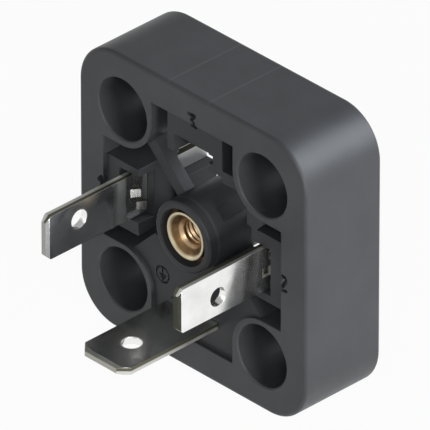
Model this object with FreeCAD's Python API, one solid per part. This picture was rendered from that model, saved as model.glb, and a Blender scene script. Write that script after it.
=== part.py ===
import FreeCAD, Part
import math
import os

# Square flange plug for a solenoid valve: a moulded housing with four screw wells, two line
# blades, an earth blade and a brass thread in the middle. The fourth contact place is empty.
# Millimetres. Blades point to -Y, +Z is up, and the origin is the middle of the back face.

Vector = FreeCAD.Vector

# Housing block
BODY_SIDE = 30.8
BODY_DEPTH = 10.0
BODY_CORNER_R = 4.8
BODY_EDGE_R = 0.4
RIM_WALL = 3.3

# Screw wells in the corners
SCREW_PITCH = 19.0
SCREW_HOLE_D = 3.4
WELL_D = 6.6
WELL_WALL = 0.65
WELL_FLOOR = 2.6
WELL_MOUTH = 0.15

# Contacts: stamped sheet, measured outwards from the front rim
SHEET = 0.8
LINE_RADIUS = 9.0
LINE_WIDTH = 4.8
LINE_REACH = 10.8
LINE_TIP_CHAMFER = 0.6
EARTH_RADIUS = 9.2
EARTH_WIDTH = 6.3
EARTH_REACH = 12.0
EARTH_TIP_CHAMFER = 1.0
TIP_BEVEL = 0.13
TIP_BEVEL_LENGTH = 0.42
BLADE_HOLE_D = 2.0
LEFT_HOLE_OUT = 6.5
LEFT_HOLE_SIDE = 0.5
RIGHT_HOLE_OUT = 5.6
RIGHT_HOLE_SIDE = -0.4
EARTH_HOLE_OUT = 7.9
SHOULDER_OVERLAP = 0.7
SHOULDER_LENGTH = 1.0
TAB_WIDTH = 1.75
TAB_STEP = 0.45
TAB_CHAMFER = 0.4
TAB_INSET = 0.1

# Two small lances that lock a line contact in its window, measured inwards from the front rim
LANCE_WIDTH = 0.9
LANCE_LENGTH = 0.9
LANCE_BEND = 0.55
LANCE_SIDE_GAP = 0.05
LANCE_END_GAP = 0.2
FIRST_LANCE_START = 0.2
FIRST_LANCE_SIDE = -0.4
SECOND_LANCE_START = 1.0
SECOND_LANCE_SIDE = 1.3

# Contact blocks behind the front recess
FACE_STEP = 0.4
BLOCK_WIDTH = 7.4
LINE_BLOCK_SHIFT = 0.3
BLOCK_THICKNESS = 5.2
WEB_THICKNESS = 3.1
WINDOW_WIDTH = 5.2
WINDOW_INNER_GAP = 0.9
WINDOW_OUTER_GAP = 0.9
SPARE_WINDOW_WIDTH = 4.7
SPARE_WINDOW_SHIFT = 0.45
SPARE_WINDOW_OUTER_GAP = 0.25
CONTACT_FIT = 0.05
SUPPORT_THICKNESS = 1.6
GUSSET_STEP = 0.6
GUSSET_THICKNESS = 1.3
RIB_THICKNESS = 1.3
RIB_DEPTH = 1.2
RIB_HEIGHT = 1.3
EARTH_WEB_HALF = 9.2
EARTH_WEB_TOP_HALF = 5.8
EARTH_WEB_OFFSET = 3.1
EARTH_WEB_SHIFT = 0.3

# Middle boss and its threaded insert
BOSS_D = 7.5
BOSS_PROUD = 1.2
BOSS_EDGE_R = 0.3
INSERT_D = 6.0
INSERT_LENGTH = 6.8
INSERT_SUNK = 0.3
NECK_D = 5.0
NECK_LENGTH = 1.0
POCKET_D = 4.5
POCKET_DEPTH = 0.8
THREAD_CORE_D = 2.5
THREAD_LEAD = 0.25

# Sunk marks on the front: contact numbers on the rim, and the earth sign beside the earth blade
MARK_STROKE = 0.42
MARK_DEPTH = 0.25
NUMBER_WIDTH = 0.8
NUMBER_HEIGHT = 1.5
NUMBER_OUT = 0.3
SIGN_D = 1.9
SIGN_X = -4.4
SIGN_Z = -6.8
SIGN_STROKE = 0.2

# Places worked out from the sizes above
HALF = BODY_SIDE / 2
RECESS_HALF = HALF - RIM_WALL
SCREW_OFFSET = SCREW_PITCH / 2
TUBE_R = WELL_D / 2 + WELL_WALL
TUBE_INNER = SCREW_OFFSET - TUBE_R
BLOCK_HALF = BLOCK_WIDTH / 2
BLOCK_BACK = FACE_STEP + BLOCK_THICKNESS
WEB_FRONT = BLOCK_BACK - WEB_THICKNESS
WINDOW_INNER = LINE_RADIUS - SHEET / 2 - WINDOW_INNER_GAP
INSERT_FRONT = INSERT_SUNK - BOSS_PROUD
INSERT_BACK = INSERT_FRONT + INSERT_LENGTH
NUMBER_RADIUS = RECESS_HALF + NUMBER_OUT
CORNERS = [(-1, 1), (1, 1), (-1, -1), (1, -1)]

# Quarter turns about the middle axis, from the right-hand place
QUARTERS = RIGHT, UP, LEFT, DOWN = 0, 90, 180, 270

# Strokes of the numbers, as shares of a number's width and height
NUMBER_STROKES = {
    1: [(0.1, 0.7), (0.6, 1.0), (0.6, 0.0)],
    2: [(0.0, 0.8), (0.3, 1.0), (0.8, 1.0), (1.0, 0.7), (0.0, 0.0), (1.0, 0.0)],
    3: [(0.0, 1.0), (1.0, 1.0), (0.4, 0.6), (1.0, 0.35), (0.7, 0.0), (0.0, 0.05)],
}

# Bars of the earth sign, as shares of its ring's diameter: height, then half length
SIGN_BARS = [(-0.02, 0.26), (-0.16, 0.17), (-0.3, 0.08)]


def level(depth):
    """Y of a plane that lies this far behind the front rim."""
    return depth - BODY_DEPTH


def slab(x0, x1, z0, z1, front, back):
    """Block between two depths."""
    corner = Vector(x0, level(front), z0)
    return Part.makeBox(x1 - x0, back - front, z1 - z0, corner)


def rod(diameter, front, back, x=0.0, z=0.0):
    """Round bar along Y between two depths."""
    return Part.makeCylinder(diameter / 2, back - front, Vector(x, level(front), z), Vector(0, 1, 0))


def cone(front_d, back_d, front, back, x=0.0, z=0.0):
    """Taper along Y between two depths."""
    start = Vector(x, level(front), z)
    return Part.makeCone(front_d / 2, back_d / 2, back - front, start, Vector(0, 1, 0))


def prism(points, front, back):
    """Polygon of X and Z pairs, run between two depths."""
    outline = [Vector(x, level(front), z) for x, z in points]
    face = Part.Face(Part.makePolygon(outline + outline[:1]))
    return face.extrude(Vector(0, back - front, 0))


def turned(shape, angle):
    """Copy of a right-hand shape, turned about the middle axis to another place."""
    copy = shape.copy()
    copy.rotate(Vector(0, 0, 0), Vector(0, -1, 0), angle)
    return copy


def union(shapes):
    return shapes[0].multiFuse(shapes[1:]).removeSplitter()


def outer_block():
    """Rounded square block with its front and back edges eased."""
    block = slab(-HALF, HALF, -HALF, HALF, 0, BODY_DEPTH)
    uprights = [e for e in block.Edges if abs(e.BoundBox.YLength - BODY_DEPTH) < 1e-6]
    block = block.makeFillet(BODY_CORNER_R, uprights)
    rims = [e for e in block.Edges if e.BoundBox.YLength < 1e-6]
    return block.makeFillet(BODY_EDGE_R, rims)


def contact_slot(radius, width):
    """Right-hand slot that a contact passes through."""
    half_gap = SHEET / 2 + CONTACT_FIT
    half_width = width / 2 + CONTACT_FIT
    return slab(radius - half_gap, radius + half_gap, -half_width, half_width, FACE_STEP, BLOCK_BACK)


def contact_block(block_shift, window_width, window_shift, outer_gap):
    """Right-hand contact block: two side walls, an outer wall, and a web with the contact's slot."""
    bottom = block_shift - BLOCK_HALF
    body = slab(WINDOW_INNER, RECESS_HALF, bottom, bottom + BLOCK_WIDTH, FACE_STEP, BLOCK_BACK)
    low = window_shift - window_width / 2
    window_outer = LINE_RADIUS + SHEET / 2 + outer_gap
    window = slab(WINDOW_INNER, window_outer, low, low + window_width, FACE_STEP, WEB_FRONT)
    return body.cut([window, contact_slot(LINE_RADIUS, LINE_WIDTH)])


def tab_support():
    """Right-hand wall behind the block. It backs the half of the contact that has no solder tab."""
    half = LINE_WIDTH / 2
    face = LINE_RADIUS - SHEET / 2 - CONTACT_FIT
    low = TAB_WIDTH - half + CONTACT_FIT
    return slab(face - SUPPORT_THICKNESS, face, low, half + SHOULDER_OVERLAP, BLOCK_BACK, BODY_DEPTH)


def earth_web():
    """Solid ground between the lower wells, which carries the earth contact and the boss."""
    low = -RECESS_HALF
    step = EARTH_WEB_OFFSET - EARTH_WEB_HALF
    top = EARTH_WEB_OFFSET - EARTH_WEB_TOP_HALF
    points = [(-EARTH_WEB_HALF, low), (EARTH_WEB_HALF, low), (EARTH_WEB_HALF, step)]
    points += [(EARTH_WEB_TOP_HALF, top), (-EARTH_WEB_TOP_HALF, top), (-EARTH_WEB_HALF, step)]
    web = prism([(x + EARTH_WEB_SHIFT, z) for x, z in points], FACE_STEP, BLOCK_BACK)
    return web.cut(turned(contact_slot(EARTH_RADIUS, EARTH_WIDTH), DOWN))


def corner_block():
    """Square block for the well at the upper right, with its inner edge rounded round the well."""
    block = slab(TUBE_INNER, HALF, TUBE_INNER, HALF, 0, BODY_DEPTH)
    inner_edge = [e for e in block.Edges if max(e.BoundBox.XMax, e.BoundBox.ZMax) - TUBE_INNER < 1e-6]
    return block.makeFillet(TUBE_R, inner_edge)


def frame():
    """Outer block with a recess right through it, cut round the corner blocks."""
    recess = slab(-RECESS_HALF, RECESS_HALF, -RECESS_HALF, RECESS_HALF, 0, BODY_DEPTH)
    corners = [turned(corner_block(), angle) for angle in QUARTERS]
    return outer_block().cut(recess.cut(corners)).removeSplitter()


def gussets():
    """Two walls that tie the well at the upper right to the contact blocks beside it."""
    near = WINDOW_INNER - GUSSET_STEP
    far = near + GUSSET_THICKNESS
    foot = LINE_BLOCK_SHIFT + BLOCK_HALF
    sloped = [(near, foot), (far, foot), (far + TUBE_INNER - foot, TUBE_INNER)]
    sloped += [(SCREW_OFFSET, SCREW_OFFSET), (near, SCREW_OFFSET)]
    upright = prism(sloped, FACE_STEP, BLOCK_BACK)
    return [upright, slab(BLOCK_HALF, SCREW_OFFSET, near, far, FACE_STEP, BLOCK_BACK)]


def diagonal_rib(angle):
    """Rib from the boss out to a well, along a diagonal."""
    half = RIB_THICKNESS / 2
    reach = SCREW_OFFSET * math.sqrt(2)
    bar = slab(0, reach, -half, half, RIB_DEPTH, RIB_DEPTH + RIB_HEIGHT)
    return turned(bar, angle)


def middle_boss():
    """Round boss that stands proud of the rim, with an eased front edge."""
    boss = rod(BOSS_D, -BOSS_PROUD, BODY_DEPTH)
    front = [e for e in boss.Edges if abs(e.BoundBox.YMax - level(-BOSS_PROUD)) < 1e-6]
    return boss.makeFillet(BOSS_EDGE_R, front)


def screw_well(x, z):
    """Well for a screw head, its eased mouth and the screw hole in its floor."""
    floor = BODY_DEPTH - WELL_FLOOR
    well = rod(WELL_D, 0, floor, x, z)
    mouth = cone(WELL_D + 2 * WELL_MOUTH, WELL_D, 0, WELL_MOUTH, x, z)
    hole = rod(SCREW_HOLE_D, floor, BODY_DEPTH, x, z)
    return [well, mouth, hole]


def stroke(start, end, width, front, back):
    """Straight bar with square ends, between two X and Z points."""
    (x0, z0), (x1, z1) = start, end
    length = math.hypot(x1 - x0, z1 - z0)
    dx = (x1 - x0) / length * width / 2
    dz = (z1 - z0) / length * width / 2
    points = [(x0 - dz, z0 + dx), (x1 - dz, z1 + dx), (x1 + dz, z1 - dx), (x0 + dz, z0 - dx)]
    return prism(points, front, back)


def number_cut(number, x, z):
    """Strokes of one number with round joints, centred on a point of the rim's inner edge."""
    front = -MARK_DEPTH
    back = FACE_STEP + MARK_DEPTH
    spots = []
    for across, up in NUMBER_STROKES[number]:
        spots.append((x + (across - 0.5) * NUMBER_WIDTH, z + (up - 0.5) * NUMBER_HEIGHT))
    bars = [stroke(start, end, MARK_STROKE, front, back) for start, end in zip(spots, spots[1:])]
    joints = [rod(MARK_STROKE, front, back, spot_x, spot_z) for spot_x, spot_z in spots]
    return union(bars + joints)


def earth_sign_cut():
    """Earth sign: a ring, a stem, and three bars that shorten downwards."""
    front = FACE_STEP - MARK_DEPTH
    back = FACE_STEP + MARK_DEPTH
    half = SIGN_STROKE / 2
    ring = rod(SIGN_D, front, back, SIGN_X, SIGN_Z)
    ring = ring.cut(rod(SIGN_D - 2 * SIGN_STROKE, front, back, SIGN_X, SIGN_Z))
    stem_low = SIGN_Z + SIGN_BARS[0][0] * SIGN_D
    stem_top = SIGN_Z + SIGN_D / 2 - half
    bars = [slab(SIGN_X - half, SIGN_X + half, stem_low, stem_top, front, back)]
    for height, half_length in SIGN_BARS:
        z = SIGN_Z + height * SIGN_D
        reach = half_length * SIGN_D
        bars.append(slab(SIGN_X - reach, SIGN_X + reach, z - half, z + half, front, back))
    return union([ring] + bars)


def build_housing():
    line_block = contact_block(LINE_BLOCK_SHIFT, WINDOW_WIDTH, 0, WINDOW_OUTER_GAP)
    line_place = union([line_block, tab_support()])
    spare_block = contact_block(0, SPARE_WINDOW_WIDTH, SPARE_WINDOW_SHIFT, SPARE_WINDOW_OUTER_GAP)
    solids = [frame(), line_place, turned(line_place, LEFT), turned(spare_block, UP), earth_web()]
    solids += gussets() + [diagonal_rib(45), diagonal_rib(135), middle_boss()]
    housing = union(solids)
    cuts = [rod(INSERT_D, -BOSS_PROUD, INSERT_BACK)]
    for side_x, side_z in CORNERS:
        cuts += screw_well(side_x * SCREW_OFFSET, side_z * SCREW_OFFSET)
    cuts += [number_cut(1, -NUMBER_RADIUS, 0), number_cut(2, NUMBER_RADIUS, 0)]
    cuts += [number_cut(3, 0, NUMBER_RADIUS), earth_sign_cut()]
    return housing.cut(cuts)


def sheet_piece(points, shift=0.0):
    """Flat piece of sheet from depth and side pairs, shifted along X from the middle plane."""
    outline = [Vector(shift - SHEET / 2, level(depth), side) for depth, side in points]
    return Part.Face(Part.makePolygon(outline + outline[:1])).extrude(Vector(SHEET, 0, 0))


def blade(width, reach, chamfer):
    """Right-hand blade with a chamfered tip, and a shoulder behind the web."""
    half = width / 2
    wide = half + SHOULDER_OVERLAP
    shoulder_back = BLOCK_BACK + SHOULDER_LENGTH
    tip = -reach
    points = [(BLOCK_BACK, half), (tip + chamfer, half), (tip, half - chamfer)]
    points += [(tip, chamfer - half), (tip + chamfer, -half), (BLOCK_BACK, -half)]
    points += [(BLOCK_BACK, -wide), (shoulder_back, -wide), (shoulder_back, wide), (BLOCK_BACK, wide)]
    return sheet_piece(points)


def solder_tab(width):
    """Right-hand tab at one side of the shoulder, pressed a step inwards, with one corner chamfered."""
    low = -width / 2
    top = low + TAB_WIDTH
    end = BODY_DEPTH - TAB_INSET
    points = [(BLOCK_BACK, low), (end - TAB_CHAMFER, low), (end, low + TAB_CHAMFER)]
    points += [(end, top), (BLOCK_BACK, top)]
    return sheet_piece(points, -TAB_STEP)


def tip_wedge(reach, width, side):
    """Wedge taken off one face of the sheet to bevel the tip."""
    face = side * SHEET / 2
    inner = side * (SHEET / 2 - TIP_BEVEL)
    corners = [(inner, -reach), (face, -reach), (face, TIP_BEVEL_LENGTH - reach)]
    points = [Vector(x, level(depth), -width) for x, depth in corners]
    return Part.Face(Part.makePolygon(points + points[:1])).extrude(Vector(0, 0, 2 * width))


def cross_hole(out, side):
    """Hole through the sheet, this far out of the rim."""
    start = Vector(-SHEET, level(-out), side)
    return Part.makeCylinder(BLADE_HOLE_D / 2, 2 * SHEET, start, Vector(1, 0, 0))


def flat_contact(width, reach, chamfer, hole_out, hole_side):
    """Right-hand contact in the middle plane, before any lances are cut."""
    sheet = union([blade(width, reach, chamfer), solder_tab(width)])
    cuts = [tip_wedge(reach, width, 1), tip_wedge(reach, width, -1), cross_hole(hole_out, hole_side)]
    return sheet.cut(cuts)


def lanced(contact, start, side):
    """Adds a lance, cut free on three sides and bent towards the middle axis."""
    end = start + LANCE_LENGTH
    low = side - LANCE_WIDTH / 2
    opening = Part.makeBox(2 * SHEET, LANCE_LENGTH + LANCE_END_GAP, LANCE_WIDTH + 2 * LANCE_SIDE_GAP,
                           Vector(-SHEET, level(start), low - LANCE_SIDE_GAP))
    face = SHEET / 2
    corners = [(-face, start), (face, start), (face - LANCE_BEND, end), (-face - LANCE_BEND, end)]
    points = [Vector(x, level(depth), low) for x, depth in corners]
    lance = Part.Face(Part.makePolygon(points + points[:1])).extrude(Vector(0, 0, LANCE_WIDTH))
    return union([contact.cut(opening), lance])


def line_contact(hole_out, hole_side, angle):
    contact = flat_contact(LINE_WIDTH, LINE_REACH, LINE_TIP_CHAMFER, hole_out, hole_side)
    contact = lanced(contact, FIRST_LANCE_START, FIRST_LANCE_SIDE)
    contact = lanced(contact, SECOND_LANCE_START, SECOND_LANCE_SIDE)
    contact.translate(Vector(LINE_RADIUS, 0, 0))
    return turned(contact, angle)


def build_earth_contact():
    contact = flat_contact(EARTH_WIDTH, EARTH_REACH, EARTH_TIP_CHAMFER, EARTH_HOLE_OUT, 0)
    contact.translate(Vector(EARTH_RADIUS, 0, 0))
    return turned(contact, DOWN)


def build_insert():
    """Brass bush: stepped neck, a tapered pocket that guides the screw, and the thread's core below it."""
    neck_back = INSERT_FRONT + NECK_LENGTH
    floor = INSERT_FRONT + POCKET_DEPTH
    bush = union([rod(NECK_D, INSERT_FRONT, neck_back), rod(INSERT_D, neck_back, INSERT_BACK)])
    lead_d = THREAD_CORE_D + 2 * THREAD_LEAD
    pocket = cone(POCKET_D, lead_d, INSERT_FRONT, floor)
    lead = cone(lead_d, THREAD_CORE_D, floor, floor + THREAD_LEAD)
    return bush.cut([pocket, lead, rod(THREAD_CORE_D, floor, INSERT_BACK)])


def main():
    os.makedirs("parts", exist_ok=True)
    nodes = {
        "housing": build_housing(),
        "contact_1": line_contact(LEFT_HOLE_OUT, -LEFT_HOLE_SIDE, LEFT),
        "contact_2": line_contact(RIGHT_HOLE_OUT, RIGHT_HOLE_SIDE, RIGHT),
        "earth_contact": build_earth_contact(),
        "threaded_insert": build_insert(),
    }
    for name, shape in nodes.items():
        print(name, shape.ShapeType, "solids", len(shape.Solids), "valid", shape.isValid(),
              "volume", round(shape.Volume, 2))
        shape.exportStep("parts/" + name + ".step")


main()
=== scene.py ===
import bmesh
import bpy
import math
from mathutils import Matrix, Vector


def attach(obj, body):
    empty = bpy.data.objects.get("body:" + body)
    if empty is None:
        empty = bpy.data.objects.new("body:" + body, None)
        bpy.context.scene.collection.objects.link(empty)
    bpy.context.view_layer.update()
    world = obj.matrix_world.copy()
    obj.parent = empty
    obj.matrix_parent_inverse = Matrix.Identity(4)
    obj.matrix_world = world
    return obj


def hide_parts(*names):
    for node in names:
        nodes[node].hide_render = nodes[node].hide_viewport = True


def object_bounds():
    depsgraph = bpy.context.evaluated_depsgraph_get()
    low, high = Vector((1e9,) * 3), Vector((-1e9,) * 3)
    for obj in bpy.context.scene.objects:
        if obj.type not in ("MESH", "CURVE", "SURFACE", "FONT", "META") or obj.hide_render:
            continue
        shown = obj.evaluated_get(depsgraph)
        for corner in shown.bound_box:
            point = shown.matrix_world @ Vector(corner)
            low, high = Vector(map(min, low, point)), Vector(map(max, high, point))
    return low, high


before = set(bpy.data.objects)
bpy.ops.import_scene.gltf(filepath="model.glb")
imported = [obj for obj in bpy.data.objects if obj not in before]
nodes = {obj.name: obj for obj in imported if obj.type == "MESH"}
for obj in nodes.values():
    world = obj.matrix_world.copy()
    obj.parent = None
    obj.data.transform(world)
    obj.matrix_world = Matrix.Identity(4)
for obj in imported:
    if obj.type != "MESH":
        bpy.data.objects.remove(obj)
cad_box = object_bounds()
MM = 0.001

# Camera: a long lens at the photograph's angle, looking at a point near the boss
AZIMUTH = 45.99
ELEVATION = 32.08
LENS = 1300.0
TARGET = Vector((1.149, -8.037, 1.676)) * MM
DISTANCE = 1468.7 * MM

# Housing, in millimetres: the rim's plane and its band in depth, the reach of the recess in it, which gets
# painted shade, the wells that stand in the recess, the top face, two faint mould lines that run back across
# it, painted lighter as a highlight, and the height in which they fade, and the softness of the edges
RIM_Y = -10.0
RIM_BAND = 0.2
RECESS_REACH = 12.15
WELL_OFFSET = 9.5
WELL_OUTER_R = 3.6
TOP_Z = cad_box[1].z / MM
MOULD_LINES_X = (-3.3, 2.2)
MOULD_LINE_HALF = 0.15
MOULD_LINE_FADE = 0.1
PLASTIC_EDGE_R = 0.12

# Stamped contacts, in millimetres: middle planes of the sheet, the radius of the painted highlight round a
# hole, holes as side and depth on Y, the band before the housing that gets painted shade, the places of the
# window and the tab, and the lengths in which the plate changes there and across a torn edge
LINE_PLANE = 9.0
EARTH_PLANE = 9.2
HOLE_HIGHLIGHT_R = 1.1
HOLE_HIGHLIGHT_FADE = 0.1
LEFT_HOLE = (0.5, -16.5)
RIGHT_HOLE = (-0.4, -15.6)
EARTH_HOLE = (0.0, -17.9)
# Painted shade: the band just before the housing where the plate is darkened in patches
ROOT_SHADE_FROM_Y = -12.4
ROOT_SHADE_TO_Y = -11.2
ROOT_SHADE_FADE = 0.3
WINDOW_Y = -10.2
WINDOW_FADE = 0.2
TAB_Y = -4.4
TAB_FADE = 1.0
TORN_FADE = 0.05
SHEET_EDGE_R = 0.1

# Angles in degrees: between faces that count as one flat, round a hole, and at a sharp edge
FLAT_ANGLE = 1
HOLE_WALL_ANGLE = 2
SHARP_ANGLE = 15

# How the line blades' faces lean along Y: a slope, and its growth for each millimetre up
LINE_DISH = (0.06, 0.025)

# Brass bush, in millimetres: depth of the front face on Y, radii and lengths
BUSH_FRONT_Y = -10.9
BUSH_BACK_Y = -4.1
BUSH_R = 3.0
NECK_R = 2.5
NECK_LENGTH = 1.0
POCKET_R = 2.25
POCKET_DEPTH = 0.8
THREAD_CORE_R = 1.25
THREAD_MAJOR_R = 1.5
THREAD_LEAD = 0.25
THREAD_PITCH = 0.5
BUSH_EDGE_R = 0.08
BUSH_RIM_DEPTH = 0.05
BUSH_RIM_FADE = 0.25

# Colours, as linear values
PLASTIC_DARK = (0.030, 0.0312, 0.0335)
PLASTIC_LIGHT = (0.038, 0.0395, 0.0425)
# Painted highlight: the lighter colour along the mould lines stands for their edges catching light
PLASTIC_LINE_HIGHLIGHT = (0.052, 0.053, 0.055)
# Painted shade: the darker colour of everything in the recess
PLASTIC_RECESS_SHADE = (0.028, 0.029, 0.031)
# Painted highlight: the bright tin in and round each hole and from the window back, where the tongues glint
TIN_HIGHLIGHT = (0.88, 0.88, 0.87)
# Painted shade on the band before the housing
TIN_ROOT_SHADE = (0.43, 0.43, 0.40)
# Painted light and shade: each blade gets its own tone of the one tin, the right face lit and the left and
# earth faces shaded, and each tip end a painted shade
LEFT_TIN_SHADED = (0.61, 0.63, 0.66)
LEFT_END_SHADE = (0.31, 0.31, 0.30)
RIGHT_TIN_LIT = (0.93, 0.93, 0.92)
RIGHT_END_SHADE = (0.05, 0.05, 0.04)
EARTH_TIN_SHADED = (0.48, 0.485, 0.47)
EARTH_END_SHADE = (0.35, 0.35, 0.31)
EDGE_CLEAN = (0.66, 0.66, 0.62)
EDGE_TORN = (0.13, 0.125, 0.09)
# Brass: the dark brown base is painted shade for the pocket, the lip colour a painted highlight and the
# thread colour painted light in the shaded bore
BRASS_SHADE_DARK = (0.10, 0.058, 0.025)
BRASS_SHADE_LIGHT = (0.21, 0.135, 0.063)
BRASS_RIM = (0.54, 0.47, 0.32)
BRASS_LIP_HIGHLIGHT = (0.46, 0.32, 0.19)
BRASS_THREAD_LIT = (0.50, 0.36, 0.22)

# Roughness from smooth to dull places, what edges, the tab and the left root add to it, the plastic's
# shine outside and in the recess, and the height of fine bumps in millimetres
PLASTIC_ROUGHNESS = (0.40, 0.45)
TIN_ROUGHNESS = (0.14, 0.24)
BRASS_ROUGHNESS = (0.32, 0.48)
EDGE_WEAR = 0.2
TAB_WEAR = 0.3
LEFT_ROOT_WEAR = 0.25
PLASTIC_SHINE = 0.3
RECESS_SHINE = 0.18
BUMP_HEIGHT = 0.02

# Lamps: place and side in metres, power in watts. The fill lamp stands behind the camera
SIDE_LAMP = ((0.39, -0.08, 0.04), 0.15, 1.0)
FRONT_LAMP = ((-0.15, -0.35, 0.20), 0.25, 0.15)
CORNER_LAMP = ((0.229, 0.235, 0.228), 0.30, 2.35)
CORNER_TINT = (0.88, 0.93, 1.0)
FILL_DISTANCE = 1.6
FILL_SIDE = 0.5
FILL_POWER = 12.0

# Studio: the even light, the ceiling's share of white in reflections and the slopes between which walls
# turn to ceiling, and the floor's half side in metres, colour and share of white
AMBIENT = 0.08
AMBIENT_TINT = (0.95, 0.97, 1.0)
CEILING_SHARE = 0.42
WALL_TOP = 0.2
CEILING_EDGE = 0.5
FLOOR_HALF = 1.5
FLOOR_COLOUR = (0.92, 0.92, 0.92)
FLOOR_SHARE = 0.95
WHITE = (1, 1, 1)

scene = bpy.context.scene
scene.view_settings.view_transform = "Standard"


def view_back():
    """Direction from the target back to the camera."""
    a = math.radians(AZIMUTH)
    e = math.radians(ELEVATION)
    return Vector((math.sin(a) * math.cos(e), -math.cos(a) * math.cos(e), math.sin(e)))


def make_camera():
    data = bpy.data.cameras.new("camera")
    data.lens = LENS
    data.sensor_width = 36.0
    data.clip_start = 0.1
    data.clip_end = 10.0
    camera = bpy.data.objects.new("camera", data)
    scene.collection.objects.link(camera)
    camera.location = TARGET + view_back() * DISTANCE
    camera.rotation_euler = (-view_back()).to_track_quat("-Z", "Y").to_euler()
    scene.camera = camera


def new_material(name):
    material = bpy.data.materials.new(name)
    material.use_nodes = True
    tree = material.node_tree
    return material, tree, tree.nodes["Principled BSDF"]


def place(tree):
    """Position in the frame's own metres."""
    return tree.nodes.new("ShaderNodeTexCoord").outputs["Object"]


def noise(tree, scale, detail, stretch=(1, 1, 1)):
    """Noise in the frame's own metres, with features about 1 / scale across."""
    mapping = tree.nodes.new("ShaderNodeMapping")
    mapping.inputs["Scale"].default_value = stretch
    tree.links.new(place(tree), mapping.inputs["Vector"])
    texture = tree.nodes.new("ShaderNodeTexNoise")
    texture.inputs["Scale"].default_value = scale
    texture.inputs["Detail"].default_value = detail
    tree.links.new(mapping.outputs["Vector"], texture.inputs["Vector"])
    return texture.outputs["Fac"]


def split(tree, vector, axis):
    node = tree.nodes.new("ShaderNodeSeparateXYZ")
    tree.links.new(vector, node.inputs["Vector"])
    return node.outputs[axis]


def spread(tree, source, low, high, start=0.3, end=0.7):
    """Values from low to high while the source goes from start to end."""
    node = tree.nodes.new("ShaderNodeMapRange")
    node.inputs["From Min"].default_value = start
    node.inputs["From Max"].default_value = end
    node.inputs["To Min"].default_value = low
    node.inputs["To Max"].default_value = high
    tree.links.new(source, node.inputs["Value"])
    return node.outputs["Result"]


def combine(tree, operation, first, second):
    """Sum, product or other operation on two sources, or on a source and a number."""
    node = tree.nodes.new("ShaderNodeMath")
    node.operation = operation
    for socket, value in zip(node.inputs, (first, second)):
        if isinstance(value, (int, float)):
            socket.default_value = value
        else:
            tree.links.new(value, socket)
    return node.outputs["Value"]


def blend(tree, factor, dark, light):
    """Mix of two colours, or of a colour and another mix."""
    node = tree.nodes.new("ShaderNodeMix")
    node.data_type = "RGBA"
    tree.links.new(factor, node.inputs["Factor"])
    for socket, value in ((node.inputs[6], dark), (node.inputs[7], light)):
        if isinstance(value, tuple):
            socket.default_value = (*value, 1)
        else:
            tree.links.new(value, socket)
    return node.outputs[2]


def bump(tree, source, strength, height, normal=None):
    node = tree.nodes.new("ShaderNodeBump")
    node.inputs["Strength"].default_value = strength
    node.inputs["Distance"].default_value = height
    tree.links.new(source, node.inputs["Height"])
    if normal:
        tree.links.new(normal, node.inputs["Normal"])
    return node.outputs["Normal"]


def near(tree, source, middle, half):
    """1 where the source is close to a middle value, falling to 0 at half the width on either side."""
    away = combine(tree, "ABSOLUTE", combine(tree, "SUBTRACT", source, middle), 0)
    return spread(tree, away, 1, 0, half / 2, half)


def mould_line_highlight(tree):
    """1 along the faint mould lines on the top face, where their painted highlight goes, and 0 elsewhere."""
    across = split(tree, place(tree), "X")
    lines = 0
    for x in MOULD_LINES_X:
        lines = combine(tree, "MAXIMUM", near(tree, across, x * MM, MOULD_LINE_HALF * MM), lines)
    full_z = TOP_Z - MOULD_LINE_FADE
    start_z = full_z - MOULD_LINE_FADE
    on_top = spread(tree, split(tree, place(tree), "Z"), 0, 1, start_z * MM, full_z * MM)
    return combine(tree, "MULTIPLY", lines, on_top)


def distance(tree, first, second):
    """Distance from its two parts at right angles."""
    squares = [combine(tree, "POWER", part, 2) for part in (first, second)]
    return combine(tree, "SQRT", combine(tree, "ADD", *squares), 0)


def in_recess(tree):
    """1 on the boss and behind the rim, where the recess gets painted shade and less shine, and 0 on the rim,
    on the outside and in the wells.
    """
    sides = [combine(tree, "ABSOLUTE", split(tree, place(tree), axis), 0) for axis in ("X", "Z")]
    inside = combine(tree, "LESS_THAN", combine(tree, "MAXIMUM", *sides), RECESS_REACH * MM)
    from_well = distance(tree, *[combine(tree, "SUBTRACT", side, WELL_OFFSET * MM) for side in sides])
    beyond = combine(tree, "GREATER_THAN", from_well, WELL_OUTER_R * MM)
    on_rim = near(tree, split(tree, place(tree), "Y"), RIM_Y * MM, RIM_BAND * MM)
    off_rim = combine(tree, "SUBTRACT", 1, on_rim)
    return combine(tree, "MULTIPLY", off_rim, combine(tree, "MULTIPLY", inside, beyond))


def black_plastic():
    """Glass-filled black moulding: satin, finely pitted, with painted shade and less shine in the recess, a
    painted highlight along its mould lines, and soft edges.
    """
    material, tree, shader = new_material("black_plastic")
    cloud = noise(tree, 260, 5)
    colour = blend(tree, spread(tree, cloud, 0, 1), PLASTIC_DARK, PLASTIC_LIGHT)
    # Painted highlight along the mould lines
    colour = blend(tree, mould_line_highlight(tree), colour, PLASTIC_LINE_HIGHLIGHT)
    inner = in_recess(tree)
    # Painted shade in the recess
    tree.links.new(blend(tree, inner, colour, PLASTIC_RECESS_SHADE), shader.inputs["Base Color"])
    shine = spread(tree, inner, PLASTIC_SHINE, RECESS_SHINE, 0, 1)
    tree.links.new(shine, shader.inputs["Specular IOR Level"])
    tree.links.new(spread(tree, noise(tree, 900, 3), *PLASTIC_ROUGHNESS), shader.inputs["Roughness"])
    edge = tree.nodes.new("ShaderNodeBevel")
    edge.samples = 6
    edge.inputs["Radius"].default_value = PLASTIC_EDGE_R * MM
    grain = bump(tree, noise(tree, 5200, 4), 0.25, BUMP_HEIGHT * MM, edge.outputs["Normal"])
    tree.links.new(grain, shader.inputs["Normal"])
    return material


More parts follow.
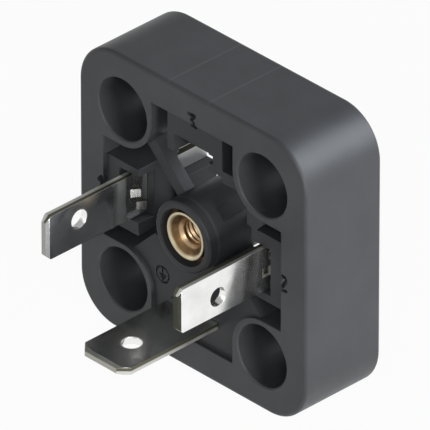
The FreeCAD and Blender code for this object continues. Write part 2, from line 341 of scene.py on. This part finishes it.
def facing(tree, axis):
    """How squarely a face looks along an axis, either way: 1 is straight and 0 is side on."""
    normal = tree.nodes.new("ShaderNodeNewGeometry").outputs["True Normal"]
    return combine(tree, "ABSOLUTE", split(tree, normal, axis), 0)


def off_hole(tree, side_axis, hole):
    """1 on the sheet, and 0 in its hole and close round it, where the painted highlight goes."""
    side_away = combine(tree, "SUBTRACT", split(tree, place(tree), side_axis), hole[0] * MM)
    depth_away = combine(tree, "SUBTRACT", split(tree, place(tree), "Y"), hole[1] * MM)
    radius = distance(tree, side_away, depth_away)
    return spread(tree, radius, 0, 1, HOLE_HIGHLIGHT_R * MM, (HOLE_HIGHLIGHT_R + HOLE_HIGHLIGHT_FADE) * MM)


def tinned_sheet(name, thin_axis, side_axis, plane, hole, dish, painted_tone, end_shade, root_wear=0.0):
    """Tin plate in a tone that paints its blade's light and shade, with a painted highlight in its hole and
    from its window back, painted shade on the root band before the housing and on the tip end, and dull on
    the tab.

    Half of each sheared edge is torn and dark. Root wear is roughness added in the root band.
    """
    material, tree, shader = new_material(name)
    shader.inputs["Metallic"].default_value = 0.97
    patches = spread(tree, noise(tree, 420, 5), 0, 1)
    depth = split(tree, place(tree), "Y")
    whole = off_hole(tree, side_axis, hole)
    in_front = spread(tree, depth, 1, 0, (WINDOW_Y - WINDOW_FADE) * MM, WINDOW_Y * MM)
    clear = combine(tree, "MULTIPLY", whole, in_front)
    plate = blend(tree, patches, tuple(0.85 * part for part in painted_tone), painted_tone)
    # Painted highlight in and round the hole and from the window back
    plate = blend(tree, clear, TIN_HIGHLIGHT, plate)
    # Painted shade, in patches, on the band just before the housing
    root_band_shade = combine(tree, "MULTIPLY", spread(tree, depth, 0, 1, ROOT_SHADE_FROM_Y * MM, ROOT_SHADE_TO_Y * MM),
                   spread(tree, depth, 1, 0, (WINDOW_Y - ROOT_SHADE_FADE) * MM, WINDOW_Y * MM))
    plate = blend(tree, combine(tree, "MULTIPLY", root_band_shade, patches), plate, TIN_ROOT_SHADE)
    level = combine(tree, "ABSOLUTE", split(tree, place(tree), thin_axis), 0)
    torn = spread(tree, level, 1, 0, (plane - TORN_FADE) * MM, (plane + TORN_FADE) * MM)
    edge_colour = blend(tree, torn, EDGE_CLEAN, EDGE_TORN)

    # Sheared edges stand across the sheet, and the tip is the one that looks along Y, painted with the end
    # shade
    sheared = combine(tree, "MULTIPLY", whole, spread(tree, facing(tree, thin_axis), 1, 0, 0.45, 0.6))
    tip = combine(tree, "MULTIPLY", clear, spread(tree, facing(tree, "Y"), 0, 1, 0.15, 0.25))
    tip = combine(tree, "MULTIPLY", tip, spread(tree, facing(tree, side_axis), 1, 0, 0.4, 0.5))
    colour = blend(tree, tip, blend(tree, sheared, plate, edge_colour), end_shade)
    tree.links.new(colour, shader.inputs["Base Color"])
    wear = spread(tree, noise(tree, 700, 4), *TIN_ROUGHNESS)
    rough = combine(tree, "ADD", wear, combine(tree, "MULTIPLY", sheared, EDGE_WEAR))
    rough = combine(tree, "ADD", rough, combine(tree, "MULTIPLY", root_band_shade, root_wear))
    tab_wear = spread(tree, depth, 0, TAB_WEAR, (TAB_Y - TAB_FADE) * MM, TAB_Y * MM)
    rough = combine(tree, "ADD", rough, tab_wear)
    tree.links.new(rough, shader.inputs["Roughness"])
    normal = None
    if dish:
        normal = dished(tree, side_axis, dish)
    scratch = noise(tree, 1500, 5, (1, 0.12, 1))
    tree.links.new(bump(tree, scratch, 0.05, BUMP_HEIGHT * MM, normal), shader.inputs["Normal"])
    return material


def dished(tree, side_axis, slopes):
    """Normal of a face that leans along Y by one slope, and by more towards one side."""
    lean, twist = slopes
    side = split(tree, place(tree), side_axis)
    slope = combine(tree, "ADD", combine(tree, "MULTIPLY", side, twist / MM), lean)
    out = combine(tree, "SUBTRACT", split(tree, place(tree), "Y"), ROOT_SHADE_FROM_Y * MM)
    return bump(tree, combine(tree, "MULTIPLY", out, slope), 1.0, 1.0)


def brass():
    """Turned brass: a pale rim, a brown pocket of painted shade, a thread lightened with painted light, and a
    painted highlight on the lip at its mouth.
    """
    material, tree, shader = new_material("brass")
    shader.inputs["Metallic"].default_value = 1.0
    cloud = spread(tree, noise(tree, 700, 4), 0, 1)
    # Painted shade: the dark brown base
    colour = blend(tree, cloud, BRASS_SHADE_DARK, BRASS_SHADE_LIGHT)
    depth = split(tree, place(tree), "Y")
    rim_full = (BUSH_FRONT_Y + BUSH_RIM_DEPTH) * MM
    rim_end = (BUSH_FRONT_Y + BUSH_RIM_FADE) * MM
    rim = spread(tree, depth, 1, 0, rim_full, rim_end)
    colour = blend(tree, rim, colour, BRASS_RIM)
    lip_y = BUSH_FRONT_Y + POCKET_DEPTH + THREAD_LEAD / 2
    # Painted highlight on the lip at the thread's mouth
    colour = blend(tree, near(tree, depth, lip_y * MM, THREAD_LEAD * MM), colour, BRASS_LIP_HIGHLIGHT)
    # Painted light on the thread in the bore
    bore = spread(tree, depth, 0, 1, lip_y * MM, (lip_y + THREAD_LEAD) * MM)
    colour = blend(tree, bore, colour, BRASS_THREAD_LIT)
    tree.links.new(colour, shader.inputs["Base Color"])
    tree.links.new(spread(tree, noise(tree, 1500, 3), *BRASS_ROUGHNESS), shader.inputs["Roughness"])
    turned = noise(tree, 900, 3, (1, 12, 1))
    tree.links.new(bump(tree, turned, 0.2, BUMP_HEIGHT * MM), shader.inputs["Normal"])
    return material


def seen_directly(tree, share):
    """The share for rays from the camera, a reflection or through glass, and 0 for the rest."""
    path = tree.nodes.new("ShaderNodeLightPath")
    seen = combine(tree, "MAXIMUM", path.outputs["Is Camera Ray"], path.outputs["Is Glossy Ray"])
    seen = combine(tree, "MAXIMUM", seen, path.outputs["Is Transmission Ray"])
    return combine(tree, "MULTIPLY", seen, share)


def floor_material():
    """White to the camera and in reflections, with a share of real light that holds a shadow."""
    material = bpy.data.materials.new("floor")
    material.use_nodes = True
    tree = material.node_tree
    tree.nodes.clear()
    out = tree.nodes.new("ShaderNodeOutputMaterial")
    diffuse = tree.nodes.new("ShaderNodeBsdfDiffuse")
    diffuse.inputs["Color"].default_value = (*FLOOR_COLOUR, 1)
    glow = tree.nodes.new("ShaderNodeEmission")
    glow.inputs["Color"].default_value = (*WHITE, 1)
    glow.inputs["Strength"].default_value = 1.0
    mix = tree.nodes.new("ShaderNodeMixShader")
    tree.links.new(seen_directly(tree, FLOOR_SHARE), mix.inputs["Fac"])
    tree.links.new(diffuse.outputs["BSDF"], mix.inputs[1])
    tree.links.new(glow.outputs["Emission"], mix.inputs[2])
    tree.links.new(mix.outputs["Shader"], out.inputs["Surface"])
    return material


def make_world():
    """White all round to the camera and in reflections, with a dimmer ceiling, and a weak even light."""
    world = bpy.data.worlds.new("studio")
    scene.world = world
    world.use_nodes = True
    tree = world.node_tree
    tree.nodes.clear()
    out = tree.nodes.new("ShaderNodeOutputWorld")
    ambient = tree.nodes.new("ShaderNodeBackground")
    ambient.inputs["Color"].default_value = (*AMBIENT_TINT, 1)
    ambient.inputs["Strength"].default_value = AMBIENT
    white = tree.nodes.new("ShaderNodeBackground")
    white.inputs["Color"].default_value = (*WHITE, 1)
    height = split(tree, tree.nodes.new("ShaderNodeTexCoord").outputs["Generated"], "Z")
    level = spread(tree, height, 1.0, CEILING_SHARE, WALL_TOP, CEILING_EDGE)
    tree.links.new(level, white.inputs["Strength"])
    mix = tree.nodes.new("ShaderNodeMixShader")
    tree.links.new(seen_directly(tree, 1.0), mix.inputs["Fac"])
    tree.links.new(ambient.outputs["Background"], mix.inputs[1])
    tree.links.new(white.outputs["Background"], mix.inputs[2])
    tree.links.new(mix.outputs["Shader"], out.inputs["Surface"])


def area_light(name, where, size, power, tint=WHITE):
    """Square soft box, aimed at the object."""
    data = bpy.data.lights.new(name, "AREA")
    data.size = size
    data.energy = power
    data.color = tint
    lamp = bpy.data.objects.new(name, data)
    lamp.location = where
    lamp.rotation_euler = (TARGET - Vector(where)).to_track_quat("-Z", "Y").to_euler()
    scene.collection.objects.link(lamp)
    return lamp


def make_floor():
    low = cad_box[0].z
    corners = [(x * FLOOR_HALF, y * FLOOR_HALF, low) for x, y in ((-1, -1), (1, -1), (1, 1), (-1, 1))]
    mesh = bpy.data.meshes.new("floor")
    mesh.from_pydata(corners, [], [(0, 1, 2, 3)])
    mesh.materials.append(floor_material())
    floor = bpy.data.objects.new("floor", mesh)
    scene.collection.objects.link(floor)


def stand_in(node, shape, material):
    """Piece from a shape in millimetres, that stands for a node."""
    bmesh.ops.scale(shape, vec=(MM, MM, MM), verts=shape.verts)
    mesh = bpy.data.meshes.new(node + "_piece")
    shape.to_mesh(mesh)
    shape.free()
    mesh.materials.append(material)
    piece = bpy.data.objects.new(node + "_piece", mesh)
    scene.collection.objects.link(piece)
    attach(piece, "root")
    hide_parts(node)


def eased_shape(node, radius):
    """A node's shape in millimetres, with its sharp edges rounded. Only its curved faces are smooth."""
    source = nodes[node].data
    shape = bmesh.new()
    corners = [shape.verts.new(vertex.co / MM) for vertex in source.vertices]
    for polygon in source.polygons:
        shape.faces.new([corners[i] for i in polygon.vertices])
    bmesh.ops.remove_doubles(shape, verts=shape.verts, dist=0.001)
    flat = math.radians(FLAT_ANGLE)
    bmesh.ops.dissolve_limit(shape, angle_limit=flat, verts=shape.verts, edges=shape.edges)
    sharp = [edge for edge in shape.edges if edge.calc_face_angle(0) > math.radians(SHARP_ANGLE)]
    bevel = bmesh.ops.bevel(shape, geom=sharp, offset=radius, offset_type="OFFSET", segments=3, profile=0.5,
                            affect="EDGES", clamp_overlap=True)
    rounded = set(bevel["faces"])
    hole_walls = set()
    for edge in shape.edges:
        bent = edge.calc_face_angle(0) > math.radians(HOLE_WALL_ANGLE)
        if bent and not rounded.intersection(edge.link_faces):
            hole_walls.update(edge.link_faces)
    for face in shape.faces:
        face.smooth = face in rounded or face in hole_walls
    return shape


def softened(points, radius):
    """Closed profile whose corners are each cut by a short arc of three points."""
    result = []
    for before, corner, after in zip(points[-1:] + points[:-1], points, points[1:] + points[:1]):
        corner = Vector(corner)
        first = corner + (Vector(before) - corner).normalized() * radius
        last = corner + (Vector(after) - corner).normalized() * radius
        result += [first, (first + last) / 4 + corner / 2, last]
    return result


def bush_shape():
    """Brass bush turned round the Y axis, with a real thread in its bore. A ring is depth, radius, groove."""
    floor_y = BUSH_FRONT_Y + POCKET_DEPTH
    core_y = floor_y + THREAD_LEAD
    step_y = BUSH_FRONT_Y + NECK_LENGTH
    profile = [(core_y, THREAD_CORE_R), (floor_y, THREAD_CORE_R + THREAD_LEAD), (BUSH_FRONT_Y, POCKET_R),
               (BUSH_FRONT_Y, NECK_R), (step_y, NECK_R), (step_y, BUSH_R), (BUSH_BACK_Y, BUSH_R),
               (BUSH_BACK_Y, THREAD_CORE_R)]
    rings = [(depth, radius, 0.0) for depth, radius in softened(profile, BUSH_EDGE_R)]
    steps_per_turn = 10
    columns = 72
    length = BUSH_BACK_Y - core_y - 2 * BUSH_EDGE_R
    count = round(length / THREAD_PITCH * steps_per_turn)
    for i in range(1, count):
        depth = BUSH_BACK_Y - BUSH_EDGE_R - length * i / count
        run_out = min(1.0, i / steps_per_turn, (count - i) / steps_per_turn)
        rings.append((depth, THREAD_CORE_R, run_out * (THREAD_MAJOR_R - THREAD_CORE_R)))
    shape = bmesh.new()
    grid = []
    for depth, radius, groove in rings:
        row = []
        for k in range(columns):
            turn = k / columns
            phase = (depth / THREAD_PITCH - turn) % 1.0
            reach = radius + groove * (1 - abs(2 * phase - 1))
            angle = 2 * math.pi * turn
            row.append(shape.verts.new((reach * math.cos(angle), depth, reach * math.sin(angle))))
        grid.append(row)
    for row, next_row in zip(grid, grid[1:] + grid[:1]):
        for k in range(columns):
            after = (k + 1) % columns
            face = shape.faces.new((row[k], row[after], next_row[after], next_row[k]))
            face.smooth = True
    bmesh.ops.recalc_face_normals(shape, faces=shape.faces)
    return shape


def dress(node, material):
    mesh = nodes[node].data
    mesh.materials.clear()
    mesh.materials.append(material)


make_camera()
make_world()
make_floor()
area_light("side", *SIDE_LAMP)
area_light("front", *FRONT_LAMP)
area_light("fill", TARGET + view_back() * FILL_DISTANCE, FILL_SIDE, FILL_POWER)

# The lamp behind lights the housing alone: through its open back it would dazzle in the blades
corner = area_light("corner", *CORNER_LAMP, CORNER_TINT)
corner.light_linking.receiver_collection = bpy.data.collections.new("lit_from_behind")
corner.light_linking.receiver_collection.objects.link(nodes["housing"])

dress("housing", black_plastic())
# Each plate's tone and end colour paint its blade's light and shade
plates = {
    "contact_1": tinned_sheet("left_plate", "X", "Z", LINE_PLANE, LEFT_HOLE, LINE_DISH,
                              LEFT_TIN_SHADED, LEFT_END_SHADE, root_wear=LEFT_ROOT_WEAR),
    "contact_2": tinned_sheet("right_plate", "X", "Z", LINE_PLANE, RIGHT_HOLE, LINE_DISH,
                              RIGHT_TIN_LIT, RIGHT_END_SHADE),
    "earth_contact": tinned_sheet("earth_plate", "Z", "X", EARTH_PLANE, EARTH_HOLE, None,
                                  EARTH_TIN_SHADED, EARTH_END_SHADE),
}
for node, plate in plates.items():
    stand_in(node, eased_shape(node, SHEET_EDGE_R), plate)
stand_in("threaded_insert", bush_shape(), brass())
